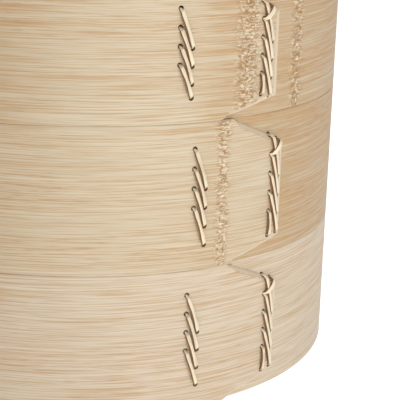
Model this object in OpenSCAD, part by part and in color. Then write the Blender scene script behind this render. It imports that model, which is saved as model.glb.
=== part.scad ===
// Two-tier round bamboo steamer with a woven, domed lid.
// The tiers share the Z axis. Azimuths are in degrees, measured from the front (-Y) towards +X.

/* [Overall size] */
// Outer diameter of the tiers, across the wrapped tongue
band_d = 203; // [200:1:220]
// Height of each basket's outer band
basket_h = 52; // [50:1:58]
// Height of the lid's skirt
skirt_h = 47; // [45:1:52]
// Rise of the woven dome above its own edge
dome_rise = 18; // [14:1:24]

/* [Bent strips] */
// Thickness of the bent bamboo strips
strip_t = 1.6; // [1.4:0.1:1.8]
// Slack between two layers of one wrapped strip
layer_gap = 0.2; // [0.1:0.05:0.3]
// Clearance between an outer band and the hoops inside it
hoop_gap = 0.35; // [0.3:0.05:0.5]
// Break on the strips' long edges
edge_break = 0.3; // [0.2:0.05:0.5]
// Angle over which a band's two ends overlap
band_overlap = 29; // [27:1:31]
// Angle over which a hoop's two ends overlap
hoop_overlap = 22; // [16:1:26]

/* [Seams] */
// Azimuth of the lower basket's tongue end
lower_tongue = 43.6; // [42:0.1:46]
// Azimuth of the upper basket's tongue end
upper_tongue = 43.7; // [42:0.1:46]
// Azimuth of the lid skirt's tongue end
lid_tongue = 40.9; // [39:0.1:43]
// Length of the tongue's slanting cuts
tongue_cut_l = 26; // [22:1:28]
// How far the upper cut takes the tongue down at its end
tongue_cut_top = 11; // [6:0.5:12]
// How far the lower cut takes the tongue up at its end
tongue_cut_bottom = 6; // [3:0.5:7]

/* [Lacing] */
// Width of the rattan lacing strips
lace_w = 1.9; // [1.6:0.1:1.95]
// Thickness of the rattan lacing strips
lace_t = 0.6; // [0.5:0.05:0.7]
// Diameter of the lacing holes
lace_hole_d = 2.1; // [2:0.1:2.4]
// Distance from a column's left holes to its right holes
lace_column_w = 4.4; // [4:0.1:5]

/* [Floor] */
// Height of the floor slats' underside above the band's lower edge
floor_z = 17; // [16:0.5:18]
// Thickness of the floor slats
slat_t = 2; // [1.6:0.1:2.2]
// Width of the floor slats
slat_w = 9.5; // [8:0.5:10]
// Distance from one floor slat to the next
slat_pitch = 13.5; // [13:0.1:14]
// Height by which the rim hoop stands above its band
rim_h = 5; // [4:0.5:5.5]

/* [Lid weave] */
// Width of the woven strips
weave_w = 7.6; // [6.5:0.1:7.8]
// Thickness of the woven strips
weave_t = 0.6; // [0.5:0.05:0.65]
// Distance from one woven strip to the next
weave_pitch = 9.5; // [9.4:0.1:10]

/* [Hidden] */
$fn = 96;

band_r = band_d / 2;

// A wrapped strip is a two-centre spiral: at every half turn the radius drops by wrap_step and
// the centre moves by the same amount, so the arcs meet without a kink and one full turn comes
// to lie just under the turn before it.
wrap_pitch = strip_t + layer_gap;
wrap_step = wrap_pitch / 2;
split_back = 13;            // from the tongue's end back to the first change of centre
split_ref = lower_tongue - split_back;
hoop_start_back = 35;       // from the tongue's end back to the hoop's outer end

// Radii beside the seam, from the tier's axis
band_inner_r = band_r - wrap_pitch - strip_t;
hoop_outer_r = band_inner_r - hoop_gap;
hoop_inner_r = hoop_outer_r - strip_t;

// The spiral is a little off centre. This shift centres its outline on the Z axis.
shift = [
    wrap_step * (1 - sin(split_ref)) / 2,
    wrap_step * (1 + cos(split_ref)) / 2
];

// Tiers: 0 lower basket, 1 upper basket, 2 lid
LOWER = 0;
UPPER = 1;
LID = 2;
tier_z = [0, basket_h, 2 * basket_h];
tier_h = [basket_h, basket_h, skirt_h];
tier_tongue = [lower_tongue, upper_tongue, lid_tongue];

// Lacing columns: azimuths of their middles, counted back from the tongue's end
start_back = [22.2, 21.4, 22.2];
end_back = [2.8, 2.8, 3.6];
lace_top = [basket_h - 9, basket_h - 9, skirt_h - 8.6];
lace_pitch = [6.9, 6.9, 6.2];
lace_drop = [14.2, 14.2, 13.2];
lace_low = 7.6;             // lowest hole of the end lacing, above the band's lower edge
start_low = 8.6;            // lowest hole of the start lacing
lace_tuck = 0.75;           // how far each run of lacing passes its holes
lace_leg_w = 1.6;           // narrower where it goes through a hole
lace_bed = 0.05;            // lacing strips lie this far off the wall

base_hoop_z = 6.2;          // clears the rim of the tier below
rim_hoop_z = floor_z + slat_t;
floor_r = band_inner_r - 0.4;
batten_w = 6;
batten_h = 4.5;
batten_x = 48;
cross_x = 22;
cross_w = 9;
cross_t = 0.8;
cross_gap = 0.15;
slat_count = floor((floor_r - slat_w) / slat_pitch);
peg_d = 2.6;
peg_fit = 0.1;
peg_proud = 0.3;
peg_azimuths = [100, 170, 240, 310];

// Dome: woven strips lie on great circles of one sphere
ring_outer_r = hoop_inner_r - 1.25;
ring_inner_r = ring_outer_r - 5.9;
weave_r = ring_outer_r - 0.9;
weave_edge_z = 36;
dome_r = (weave_r * weave_r + dome_rise * dome_rise) / (2 * dome_rise);
dome_centre_z = weave_edge_z + dome_rise - dome_r;
weave_lift = weave_t / 2 + 0.07;
weave_step = weave_pitch / dome_r * 180 / PI;
weave_half = (weave_w / 2 + 0.25) / dome_r * 180 / PI;
weave_last = floor((weave_r - weave_w / 2) / weave_pitch);
ring_clear = 0.95;          // from the weave's middle surface to either ring
ring_bottom_z = 30;
ring_top_z = 42.5;
ring_break = 0.8;           // height of the upper ring's chamfers
lashing_count = 28;
lashing_w = 2;
lashing_t = 0.5;
lashing_gap = 0.15;
slat_lashing_w = 1.2;

bamboo = "#d9b98a";
bamboo_pale = "#e3cda3";
bamboo_dark = "#c79f6b";
rattan = "#e8d9b6";

function split_az(tier) = tier_tongue[tier] - split_back;
// Distance from the axis to a band's outer surface, away from the tongue
function band_surface(az, tier) =
    let (turn = az - split_az(tier), back = turn > 180 ? turn - 360 : turn)
    back > 0 ? band_r - wrap_pitch : band_r - wrap_step + wrap_step * cos(back);
function dome_z(r) = dome_centre_z + sqrt(dome_r * dome_r - r * r);

// ---- Shared shapes ----

module place(tier) {
    translate([shift.x, shift.y, tier_z[tier]]) children();
}

module facing(az) {
    // Local +X points outward at this azimuth, and local +Y points to the right.
    rotate([0, 0, az - 90]) children();
}

module strip_section(t, h) {
    b = edge_break;
    polygon([
        [0, b], [b, 0], [t - b, 0], [t, b], [t, h - b], [t - b, h], [b, h], [0, h - b]
    ]);
}

module wrapped_strip(outer_r, az_outer, az_inner, z, h, tier) {
    // Runs from the outer end back round to the inner end, one arc per half turn. Each arc is
    // swept from a whole half turn, counted from the split, so that its end faces meet exactly.
    split = split_az(tier);
    facing(split)
        for (k = [0:3]) {
            base = -180 * k;
            high = min(az_outer - split, base + 180);
            low = max(az_inner - split, base);
            from_base = low == base;
            if (high > low)
                translate([k % 2 * wrap_step, 0, 0])
                    rotate([0, 0, from_base ? base : high])
                        rotate_extrude(angle = from_base ? high - low : low - high)
                            translate([outer_r - k * wrap_step - strip_t, z])
                                strip_section(strip_t, h);
        }
}

module tongue_cuts(tier) {
    // Material taken off the outer layer: two slanting corners and a bevelled end.
    h = tier_h[tier];
    end_az = tier_tongue[tier];
    depth = strip_t + layer_gap / 2;
    reach = 6;
    bevel_l = 1.4;
    bevel_left = 0.4;       // thickness left at the bevelled end
    past = 0.3;
    facing(end_az)
        translate([band_r - depth, 0, 0])
            rotate([0, 90, 0])
                linear_extrude(reach) {
                    polygon([
                        [-tongue_cut_bottom, 1], [0, -tongue_cut_l],
                        [1, -tongue_cut_l], [1, 1]
                    ]);
                    polygon([
                        [tongue_cut_top - h, 1], [-h, -tongue_cut_l],
                        [-h - 1, -tongue_cut_l], [-h - 1, 1]
                    ]);
                }
    facing(end_az)
        linear_extrude(h)
            polygon([
                [band_r - depth + bevel_left, past], [band_r + 1, -bevel_l], [band_r + 1, past]
            ]);
}

module column_holes(tier, az, spots) {
    facing(az)
        for (p = spots)
            translate([hoop_inner_r - 2, p.x, p.y])
                rotate([0, 90, 0])
                    cylinder(d = lace_hole_d, h = band_r - hoop_inner_r + 4);
}

// Holes of a lacing column as [side, height]: left is negative
function start_left(tier) = [
    for (i = [0:3]) [-lace_column_w / 2, lace_top[tier] - i * lace_pitch[tier]]
];
function start_right(tier) = [
    for (p = start_left(tier))
        let (drop = lace_drop[tier] - (lace_top[tier] - p.y) / 30)
        [lace_column_w / 2, max(p.y - drop, start_low)]
];
function end_left(tier) = concat(
    [for (i = [0:4]) [-lace_column_w / 2, lace_top[tier] + 1.2 - i * lace_pitch[tier]]],
    [[-lace_column_w / 2, lace_low]]
);
function end_right(tier) = concat(
    [[lace_column_w / 2, lace_top[tier] - 1]],
    [for (i = [0:3]) [lace_column_w / 2, lace_top[tier] - lace_drop[tier] - i * lace_pitch[tier]]]
);
function column_az(tier, back) = tier_tongue[tier] - back[tier];

module lace_run(a, b, r) {
    // A flat strip from hole a to hole b, its inner face at radius r
    d = b - a;
    translate([r, a.x, a.y])
        rotate([atan2(d.y, d.x), 0, 0])
            translate([0, -lace_tuck, -lace_w / 2])
                cube([lace_t, norm(d) + 2 * lace_tuck, lace_w]);
}

module lace_leg(p, lift) {
    // Where the strip passes through the wall
    inner = hoop_inner_r - lace_bed - lace_t;
    translate([inner, p.x - lace_leg_w / 2, p.y - lace_t / 2])
        cube([band_r + lace_bed + lift + lace_t - inner, lace_leg_w, lace_t]);
}

module lace_outside(a, b, lift = 0) {
    lace_run(a, b, band_r + lace_bed + lift);
    lace_leg(a, lift);
    lace_leg(b, lift);
}

module lace_inside(a, b) {
    lace_run(a, b, hoop_inner_r - lace_bed - lace_t);
}

module start_lacing(tier) {
    left = start_left(tier);
    right = start_right(tier);
    place(tier)
        facing(column_az(tier, start_back))
            union() {
                for (i = [0:3]) lace_outside(left[i], right[i]);
                for (i = [0:2]) lace_inside(right[i], left[i + 1]);
            }
}

module end_lacing(tier) {
    left = end_left(tier);
    right = end_right(tier);
    place(tier)
        facing(column_az(tier, end_back))
            union() {
                lace_outside(right[0], left[1], lace_t + 0.02);
                for (i = [0:3]) lace_outside(left[i], right[i + 1]);
                lace_outside(left[4], left[5]);
                lace_inside(left[1], left[0]);
                for (i = [1:4]) lace_inside(right[i], left[i]);
            }
}

module all_lace_holes(tier) {
    column_holes(tier, column_az(tier, start_back), concat(start_left(tier), start_right(tier)));
    column_holes(tier, column_az(tier, end_back), concat(end_left(tier), end_right(tier)));
}

module peg_holes(heights) {
    for (az = peg_azimuths, z = heights)
        facing(az)
            translate([hoop_inner_r - 3, 0, z])
                rotate([0, 90, 0])
                    cylinder(d = peg_d + peg_fit, h = band_r - hoop_inner_r + 6);
}

function peg_heights(tier) = tier == LID ? [12, 40] : [11.5, 36];

// ---- Bands and hoops ----

module outer_band(tier) {
    color(bamboo)
        place(tier)
            difference() {
                wrapped_strip(
                    band_r, tier_tongue[tier], tier_tongue[tier] - 360 - band_overlap,
                    0, tier_h[tier], tier
                );
                tongue_cuts(tier);
                all_lace_holes(tier);
                peg_holes(peg_heights(tier));
            }
}

module inner_hoop(tier, z, h) {
    start = tier_tongue[tier] - hoop_start_back;
    difference() {
        wrapped_strip(
            band_r - strip_t - hoop_gap, start, start - 360 - hoop_overlap, z, h, tier
        );
        all_lace_holes(tier);
        peg_holes(peg_heights(tier));
    }
}

module rim_hoop(tier) {
    color(bamboo_pale)
        place(tier)
            inner_hoop(tier, rim_hoop_z, basket_h + rim_h - rim_hoop_z);
}

module base_hoop(tier) {
    // Notched from above where the battens pass through
    color(bamboo_pale)
        place(tier)
            difference() {
                inner_hoop(tier, base_hoop_z, floor_z - base_hoop_z);
                for (x = [-batten_x, batten_x])
                    translate([x - batten_w / 2 - 0.2, -band_r, floor_z - batten_h - 0.1])
                        cube([batten_w + 0.4, band_d, batten_h + 1]);
            }
}

// ---- Basket floor ----

module floor_disc(r, z, h) {
    translate([0, 0, z]) cylinder(r = r, h = h);
}

module lacing_relief(tier) {
    // Slat ends are trimmed where the lacing runs down the inside of the wall.
    half = lace_column_w / 2 + 1.3;
    for (back = [start_back, end_back])
        facing(column_az(tier, back))
            translate([hoop_inner_r - 1.2, -half, floor_z - 1])
                cube([10, 2 * half, slat_t + 2]);
}

module floor_slats(tier) {
    color(bamboo)
        place(tier)
            difference() {
                intersection() {
                    for (i = [-slat_count:slat_count])
                        translate([-band_r, i * slat_pitch - slat_w / 2, floor_z])
                            cube([band_d, slat_w, slat_t]);
                    floor_disc(floor_r, floor_z - 1, slat_t + 2);
                }
                lacing_relief(tier);
            }
}

module woven_slat(phase) {
    // Passes over and under the floor slats in turn, crossing between them in the gaps.
    over = rim_hoop_z + cross_gap;
    under = floor_z - cross_gap - cross_t;
    half = slat_w / 2 + 0.4;
    ends = slat_count;
    path = [
        for (i = [-ends:ends])
            let (z = (i + ends + phase) % 2 == 0 ? over : under)
            each [[i * slat_pitch - half, z], [i * slat_pitch + half, z]]
    ];
    outline = concat(
        path, [for (i = [len(path) - 1:-1:0]) path[i] + [0, cross_t]]
    );
    rotate([90, 0, 90])
        linear_extrude(cross_w, center = true)
            polygon(outline);
}

module cross_slats(tier) {
    color(bamboo_dark)
        place(tier)
            intersection() {
                union() {
                    translate([-cross_x, 0, 0]) woven_slat(0);
                    translate([cross_x, 0, 0]) woven_slat(1);
                }
                floor_disc(hoop_inner_r - 1.5, floor_z - 4, 10);
            }
}

module support_battens(tier) {
    color(bamboo_dark)
        place(tier)
            intersection() {
                for (x = [-batten_x, batten_x])
                    translate([x - batten_w / 2, -band_r, floor_z - batten_h])
                        cube([batten_w, band_d, batten_h]);
                floor_disc(floor_r, 0, basket_h);
            }
}

module lashing_loop() {
    // A closed loop, standing diagonally over one slat and under its batten
    across = [batten_w / 2 + 0.9, slat_w / 2 + 1.1];
    turn = atan2(across.y, across.x);
    inner_l = 2 * norm(across);
    low = floor_z - batten_h - 0.1;
    high = rim_hoop_z + 0.1;
    t = lashing_t;
    rotate([0, 0, turn])
        difference() {
            translate([-inner_l / 2 - t, -slat_lashing_w / 2, low - t])
                cube([inner_l + 2 * t, slat_lashing_w, high - low + 2 * t]);
            translate([-inner_l / 2, -slat_lashing_w, low])
                cube([inner_l, 2 * slat_lashing_w, high - low]);
        }
}

module slat_lashings(tier) {
    reach = floor((slat_count - 1) / 2) * 2;
    color(rattan)
        place(tier)
            for (x = [-batten_x, batten_x], i = [-reach:2:reach])
                translate([x, i * slat_pitch, 0])
                    lashing_loop();
}

module hoop_pegs(tier) {
    color(bamboo_dark)
        place(tier)
            for (az = peg_azimuths, z = peg_heights(tier))
                facing(az)
                    translate([hoop_inner_r - 0.4, 0, z])
                        rotate([0, 90, 0])
                            cylinder(
                                d = peg_d,
                                h = band_surface(az, tier) + peg_proud - hoop_inner_r + 0.4
                            );
}

// ---- Lid ----

module lid_hoop() {
    color(bamboo_pale)
        place(LID)
            inner_hoop(LID, base_hoop_z, skirt_h - 0.5 - base_hoop_z);
}

module lid_lower_ring() {
    // Conical top that carries the weave's edge
    color(bamboo_dark)
        place(LID)
            rotate_extrude()
                polygon([
                    [ring_inner_r, ring_bottom_z], [ring_outer_r, ring_bottom_z],
                    [ring_outer_r, dome_z(ring_outer_r) - ring_clear],
                    [ring_inner_r, dome_z(ring_inner_r) - ring_clear]
                ]);
}

module lid_upper_ring() {
    color(bamboo)
        place(LID)
            rotate_extrude()
                polygon([
                    [ring_inner_r, dome_z(ring_inner_r) + ring_clear],
                    [ring_outer_r, dome_z(ring_outer_r) + ring_clear],
                    [ring_outer_r, ring_top_z], [ring_outer_r - 1, ring_top_z + ring_break],
                    [ring_inner_r + 1, ring_top_z + ring_break], [ring_inner_r, ring_top_z]
                ]);
}

function weave_over(a, b) = ((a + b) % 4 + 4) % 4 < 2;

module weave_strip(index, side) {
    // One strip along local X. It lies over two crossing strips, then under two.
    tilt = index * weave_step;
    reach = weave_last + 2;
    path = [
        for (i = [-reach:reach])
            let (
                a = atan(tan(i * weave_step) * cos(tilt)),
                lift = (weave_over(index, side * i) ? side : -side) * weave_lift
            )
            each [[a - weave_half, lift], [a + weave_half, lift]]
    ];
    function on_arc(p, d) = (dome_r + p.y + d) * [sin(p.x), cos(p.x)];
    outline = concat(
        [for (p = path) on_arc(p, weave_t / 2)],
        [for (i = [len(path) - 1:-1:0]) on_arc(path[i], -weave_t / 2)]
    );
    rotate([-tilt, 0, 0])
        rotate([90, 0, 0])
            linear_extrude(weave_w, center = true)
                polygon(outline);
}

module weave_trim() {
    difference() {
        translate([0, 0, weave_edge_z - 10]) cylinder(r = weave_r, h = dome_rise + 20);
        edge_lashing_bars(lashing_gap);
    }
}

module lid_warp_strips() {
    color(bamboo_pale)
        place(LID)
            intersection() {
                translate([0, 0, dome_centre_z])
                    for (i = [-weave_last:weave_last]) weave_strip(i, 1);
                weave_trim();
            }
}

module lid_weft_strips() {
    color(bamboo)
        place(LID)
            intersection() {
                translate([0, 0, dome_centre_z])
                    for (i = [-weave_last:weave_last])
                        rotate([0, 0, -90]) weave_strip(i, -1);
                weave_trim();
            }
}

module each_edge_lashing() {
    // Turned so that none of them meets the skirt's lacing
    for (i = [0:lashing_count - 1])
        rotate([0, 0, 360 / lashing_count * (i + 0.25)])
            children();
}

module edge_lashing_bars(grow) {
    // The inner legs of the edge lashings, which pass through the weave
    w = lashing_w + 2 * grow;
    each_edge_lashing()
        translate([ring_inner_r - lashing_gap - lashing_t - grow, -w / 2, ring_bottom_z - 2])
            cube([lashing_t + 2 * grow, w, ring_top_z - ring_bottom_z + 6]);
}

module edge_lashing() {
    gap = lashing_gap;
    t = lashing_t;
    low = ring_bottom_z - gap;
    high = ring_top_z + ring_break + gap;
    inner = ring_inner_r - gap;
    outer = ring_outer_r + gap;
    rotate([90, 0, 0])
        linear_extrude(lashing_w, center = true)
            difference() {
                polygon([
                    [inner - t, low - t], [outer + t, low - t],
                    [outer + t, high + t], [inner - t, high + t]
                ]);
                polygon([[inner, low], [outer, low], [outer, high], [inner, high]]);
            }
}

module lid_edge_lashings() {
    color(rattan)
        place(LID)
            each_edge_lashing() edge_lashing();
}

outer_band(LOWER);  // lower_outer_band
rim_hoop(LOWER);  // lower_rim_hoop
base_hoop(LOWER);  // lower_base_hoop
floor_slats(LOWER);  // lower_floor_slats
cross_slats(LOWER);  // lower_cross_slats
support_battens(LOWER);  // lower_support_battens
slat_lashings(LOWER);  // lower_slat_lashings
hoop_pegs(LOWER);  // lower_hoop_pegs
color(rattan) start_lacing(LOWER);  // lower_start_lacing
color(rattan) end_lacing(LOWER);  // lower_end_lacing
outer_band(UPPER);  // upper_outer_band
rim_hoop(UPPER);  // upper_rim_hoop
base_hoop(UPPER);  // upper_base_hoop
floor_slats(UPPER);  // upper_floor_slats
cross_slats(UPPER);  // upper_cross_slats
support_battens(UPPER);  // upper_support_battens
slat_lashings(UPPER);  // upper_slat_lashings
hoop_pegs(UPPER);  // upper_hoop_pegs
color(rattan) start_lacing(UPPER);  // upper_start_lacing
color(rattan) end_lacing(UPPER);  // upper_end_lacing
outer_band(LID);  // lid_skirt
lid_hoop();
lid_lower_ring();
lid_upper_ring();
lid_warp_strips();
lid_weft_strips();
lid_edge_lashings();
hoop_pegs(LID);  // lid_hoop_pegs
color(rattan) start_lacing(LID);  // lid_start_lacing
color(rattan) end_lacing(LID);  // lid_end_lacing
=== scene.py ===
"""Looks of a two-tier bamboo steamer with a woven lid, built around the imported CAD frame.

Lengths are in metres. Azimuths are in degrees, measured from the front (-Y) towards +X.
"""

import math

import bmesh
import bpy
import numpy as np
from mathutils import Matrix, Vector, noise
from mathutils.bvhtree import BVHTree
from mathutils.interpolate import poly_3d_calc

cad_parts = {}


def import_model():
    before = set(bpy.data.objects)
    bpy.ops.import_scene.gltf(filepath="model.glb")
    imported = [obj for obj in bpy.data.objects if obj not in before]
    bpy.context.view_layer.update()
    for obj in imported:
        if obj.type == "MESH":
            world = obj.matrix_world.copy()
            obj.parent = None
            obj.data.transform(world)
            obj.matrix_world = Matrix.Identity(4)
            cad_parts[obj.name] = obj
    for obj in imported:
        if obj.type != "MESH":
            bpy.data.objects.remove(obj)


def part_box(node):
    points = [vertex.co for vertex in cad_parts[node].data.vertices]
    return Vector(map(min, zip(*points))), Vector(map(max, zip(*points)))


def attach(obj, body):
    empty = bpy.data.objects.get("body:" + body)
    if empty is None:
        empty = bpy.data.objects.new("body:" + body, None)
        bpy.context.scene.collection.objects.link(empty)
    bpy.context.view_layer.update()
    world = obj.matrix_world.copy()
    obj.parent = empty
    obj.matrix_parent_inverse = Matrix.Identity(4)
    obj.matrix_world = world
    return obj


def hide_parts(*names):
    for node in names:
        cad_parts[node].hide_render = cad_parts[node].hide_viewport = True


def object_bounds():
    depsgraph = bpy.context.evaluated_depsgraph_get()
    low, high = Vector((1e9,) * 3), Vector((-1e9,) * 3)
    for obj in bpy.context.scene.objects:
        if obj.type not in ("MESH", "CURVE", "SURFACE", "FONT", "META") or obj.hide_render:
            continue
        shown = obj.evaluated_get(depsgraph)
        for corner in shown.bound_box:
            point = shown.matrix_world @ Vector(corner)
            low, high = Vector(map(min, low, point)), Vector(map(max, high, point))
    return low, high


MM = 0.001

# ---- Sizes shared with the CAD design ----

STRIP_T = 1.6 * MM  # bent strips
LAYER_GAP = 0.2 * MM
WRAP_STEP = (STRIP_T + LAYER_GAP) / 2  # drop of the spiral at each half turn
HOOP_GAP = 0.35 * MM
EDGE_R = 0.22 * MM  # rounding of the strips' long edges
TONGUE_BEVEL = 1.9 * MM  # scraped edges of the tongue
TONGUE_END = 0.5  # how far the scraped end runs past the strip's end, degrees
BAND_OVERLAP = 29
HOOP_OVERLAP = 22
SPLIT_BACK = 13  # from the tongue's end back to the spiral's change of centre
HOOP_START_BACK = 35
TONGUE_CUT = 14.7  # angle over which the tongue narrows
TONGUE_TOP = 11 * MM
TONGUE_BOTTOM = 6 * MM
FLOOR_Z = 17 * MM
SLAT_T = 2 * MM
SLAT_W = 9.5 * MM
SLAT_PITCH = 13.5 * MM
SLAT_COUNT = 6  # to each side of the middle slat
CROSS_X = 22 * MM
CROSS_W = 9 * MM
CROSS_T = 0.8 * MM
BATTEN_X = 48 * MM
BATTEN_W = 6 * MM
BATTEN_H = 4.5 * MM
LACE_COLUMN_W = 4.4 * MM
LACE_HOLE_R = 0.95 * MM
LACE_T = 0.75 * MM
LACE_W = 1.8 * MM
LOWEST_RIGHT_HOLE = 8.6 * MM
LOWEST_LEFT_HOLE = 7.6 * MM
PEG_R = 1.3 * MM
PEG_AZIMUTHS = (100, 170, 240, 310)
WEAVE_PITCH = 9.5 * MM
WEAVE_W = 7.6 * MM
WEAVE_T = 0.6 * MM
WEAVE_R = 94 * MM
WEAVE_EDGE_Z = 36 * MM
WEAVE_LAST = 9
DOME_RISE = 18 * MM
RING_INNER_R = 89 * MM
RING_OUTER_R = 94.9 * MM
RING_BOTTOM_Z = 30 * MM
RING_TOP_Z = 43.2 * MM
LASHING_COUNT = 28

# ---- Fineness of the meshes ----

COLUMN_STEP = 1.2  # degrees between a strip's columns
SLAT_STEPS = 24
CROSS_STEPS = 150
BATTEN_STEPS = 40
RING_STEPS = 180
STITCH_STEPS = 18
CROSSINGS = range(-13, 14)  # crossing strips of the dome, some past its edge

# ---- Shares and angles ----

END_BEVEL = 0.1  # degrees, on a strip's plain end
TONGUE_END_BEVEL = 1.7  # degrees, on the tongue's end
ARC_MIDDLE = 0.293  # 1 - cos 45: a rounding's middle, from either side, in radii
HOLE_PART = 0.08  # share of a stitch's path that is inside each of its holes
HOLE_EDGE = 0.025  # where the stitch bends, as a share of its length
HOOP_TONE = 0.35

# ---- Colours, as linear values ----

ROSY = (0.595, 0.505, 0.390)
CREAM = (0.565, 0.480, 0.350)
TAN = (0.525, 0.350, 0.185)
AMBER = (0.380, 0.205, 0.080)
# Pale scraped wood, made paler still as painted light on the tongue's end and bevels, which the
# lamps barely reach.
CUT_AND_PAINTED_LIGHT = (0.690, 0.565, 0.420)
RATTAN = (0.760, 0.660, 0.470)
# Brown of rattan's cut sides, made darker to paint in the shade line beside each strip.
RATTAN_SIDE_AND_SHADE = (0.20, 0.070, 0.014)


def smooth(x):
    x = np.clip(x, 0.0, 1.0)
    return x * x * (3 - 2 * x)


def wave(seed, along, period, amount):
    """Slow irregularity of a hand-made piece, the same each run."""
    return amount * noise.noise(Vector((along / period, seed * 7.31, seed * 1.7)))


def toward(az):
    a = math.radians(az)
    return np.array([math.sin(a), -math.cos(a), 0.0])


def rightward(az):
    a = math.radians(az)
    return np.array([math.cos(a), math.sin(a), 0.0])


# ---- Tiers, read from the frame ----


class Tier:
    """One basket or the lid: where its seam, axis and lower edge are."""

    def __init__(self, prefix, body, band, column_back, end_back, lace):
        low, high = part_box(band)
        self.prefix, self.body, self.band = prefix, body, band
        self.z, self.h = low.z, high.z - low.z
        lacing_low, lacing_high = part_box(prefix + "_end_lacing")
        middle = (lacing_low + lacing_high) / 2
        self.tongue = math.degrees(math.atan2(middle.x, -middle.y)) + end_back
        self.split = self.tongue - SPLIT_BACK
        self.start_column = self.tongue - column_back
        self.end_column = self.tongue - end_back
        width = (high.x - low.x) / 2
        split = math.radians(self.split)
        self.r = width + WRAP_STEP * (3 + math.sin(split)) / 2
        self.shift = WRAP_STEP * np.array(
            [(1 - math.sin(split)) / 2, (1 + math.cos(split)) / 2, 0]
        )
        self.lace_top, self.lace_pitch, self.lace_drop = lace
        self.inner_r = self.r - 2 * WRAP_STEP - 2 * STRIP_T - HOOP_GAP
        self.seed = self.z / 0.01

    def at(self, az, inward, z):
        """A point on the wrapped strip: az runs down from the tongue, turn after turn."""
        turn = az - self.split
        k = math.floor((180 - turn) / 180 + 1e-9)
        centre = WRAP_STEP * toward(self.split) if k % 2 else 0
        radial = (self.r - k * WRAP_STEP - inward) * toward(az)
        return self.shift + centre + radial + np.array([0, 0, self.z + z])

    def point(self, az, r, side, z):
        """A point at radius r facing az, moved to the right by side."""
        return self.shift + r * toward(az) + side * rightward(az) + np.array([0, 0, self.z + z])

    def start_holes(self):
        left = [self.lace_top - i * self.lace_pitch for i in range(4)]
        drop = [self.lace_drop - (self.lace_top - z) / 30 for z in left]
        right = [max(z - d, LOWEST_RIGHT_HOLE) for z, d in zip(left, drop)]
        return left, right

    def end_holes(self):
        left = [self.lace_top + 1.2 * MM - i * self.lace_pitch for i in range(5)]
        left.append(LOWEST_LEFT_HOLE)
        right = [self.lace_top - 1 * MM]
        right += [self.lace_top - self.lace_drop - i * self.lace_pitch for i in range(4)]
        return left, right

    def wall(self, az):
        """Radius of the band's outer surface, away from the tongue."""
        turn = (az - self.split + 180) % 360 - 180
        if turn > 0:
            return self.r - 2 * WRAP_STEP
        return self.r - WRAP_STEP + WRAP_STEP * math.cos(math.radians(turn))


# ---- Mesh helpers ----


def link_object(name, data):
    obj = bpy.data.objects.new(name, data)
    bpy.context.scene.collection.objects.link(obj)
    return obj


def face_outward(mesh):
    bm = bmesh.new()
    bm.from_mesh(mesh)
    bmesh.ops.recalc_face_normals(bm, faces=bm.faces)
    bm.to_mesh(mesh)
    bm.free()


def make_object(name, verts, faces, attributes, material, sharp=35):
    """A closed mesh with its vertex attributes."""
    mesh = bpy.data.meshes.new(name)
    mesh.from_pydata([tuple(v) for v in verts], [], faces)
    mesh.validate()
    for key, values in attributes.items():
        values = np.asarray(values, np.float32)
        kind = "FLOAT_VECTOR" if values.ndim == 2 else "FLOAT"
        field = "vector" if values.ndim == 2 else "value"
        mesh.attributes.new(key, kind, "POINT").data.foreach_set(field, values.ravel())
    face_outward(mesh)
    mesh.polygons.foreach_set("use_smooth", [True] * len(mesh.polygons))
    mesh.set_sharp_from_angle(angle=math.radians(sharp))
    obj = link_object(name, mesh)
    mesh.materials.append(material)
    return obj


class Builder:
    """Collects several closed shapes into one mesh with a grain coordinate per vertex."""

    def __init__(self):
        self.verts, self.faces, self.grain, self.shade = [], [], [], []

    def add(self, verts, faces, grain, shade):
        base = len(self.verts)
        self.verts += [tuple(v) for v in verts]
        self.faces += [tuple(base + i for i in f) for f in faces]
        self.grain += [tuple(g) for g in grain]
        self.shade += list(shade)

    def build(self, name, material, sharp=35):
        attributes = {"grain": self.grain, "shade": self.shade}
        return make_object(name, self.verts, self.faces, attributes, material, sharp)


def loop_faces(rings, count, closed=False):
    """Quads between successive rings of a swept section."""
    faces = []
    for i in range(rings if closed else rings - 1):
        a, b = i * count, (i + 1) % rings * count
        for j in range(count):
            k = (j + 1) % count
            faces.append((a + j, a + k, b + k, b + j))
    return faces


def section(width, thick, round_r, bow=0.0, across=4):
    """Rounded rectangle, lying flat, as (side, height) points, with its top bowed up."""
    r = min(round_r, thick / 2.02, width / 2.02)
    corners = [
        (width / 2 - r, -thick / 2 + r, -90),
        (width / 2 - r, thick / 2 - r, 0),
        (-width / 2 + r, thick / 2 - r, 90),
        (-width / 2 + r, -thick / 2 + r, 180),
    ]
    points = []
    for i, (cx, cy, start) in enumerate(corners):
        for j in range(3):
            a = math.radians(start + 45 * j)
            points.append((cx + r * math.cos(a), cy + r * math.sin(a)))
        if i in (1, 3):
            nx = corners[(i + 1) % 4][0]
            y = thick / 2 if i == 1 else -thick / 2
            points += [(cx + (nx - cx) * k / across, y) for k in range(1, across)]
    bowed = []
    for x, y in points:
        lift = bow * (1 - (2 * x / width) ** 2) if y > 0 else 0
        bowed.append((x, y + lift))
    return bowed


def sweep(builder, path, sides, ups, profile, seed, widths=None, closed=False, shade=None):
    """Carries a section along a path. sides and ups are unit vectors at each path point."""
    path = [np.asarray(p, float) for p in path]
    n = len(profile)
    verts, grain, tint = [], [], []
    along = 0.0
    for i, p in enumerate(path):
        if i:
            along += float(np.linalg.norm(p - path[i - 1]))
        scale = widths[i] if widths is not None else 1.0
        for x, y in profile:
            verts.append(p + np.asarray(sides[i]) * x * scale + np.asarray(ups[i]) * y)
            grain.append((along + seed * 0.37, x + seed * 0.11, y + seed * 0.05))
            tint.append(shade(x, y) if shade else 0.0)
    faces = loop_faces(len(path), n, closed)
    if not closed:
        faces.append(tuple(range(n)))
        faces.append(tuple(range((len(path) - 1) * n, len(path) * n)))
    builder.add(verts, faces, grain, tint)


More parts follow.
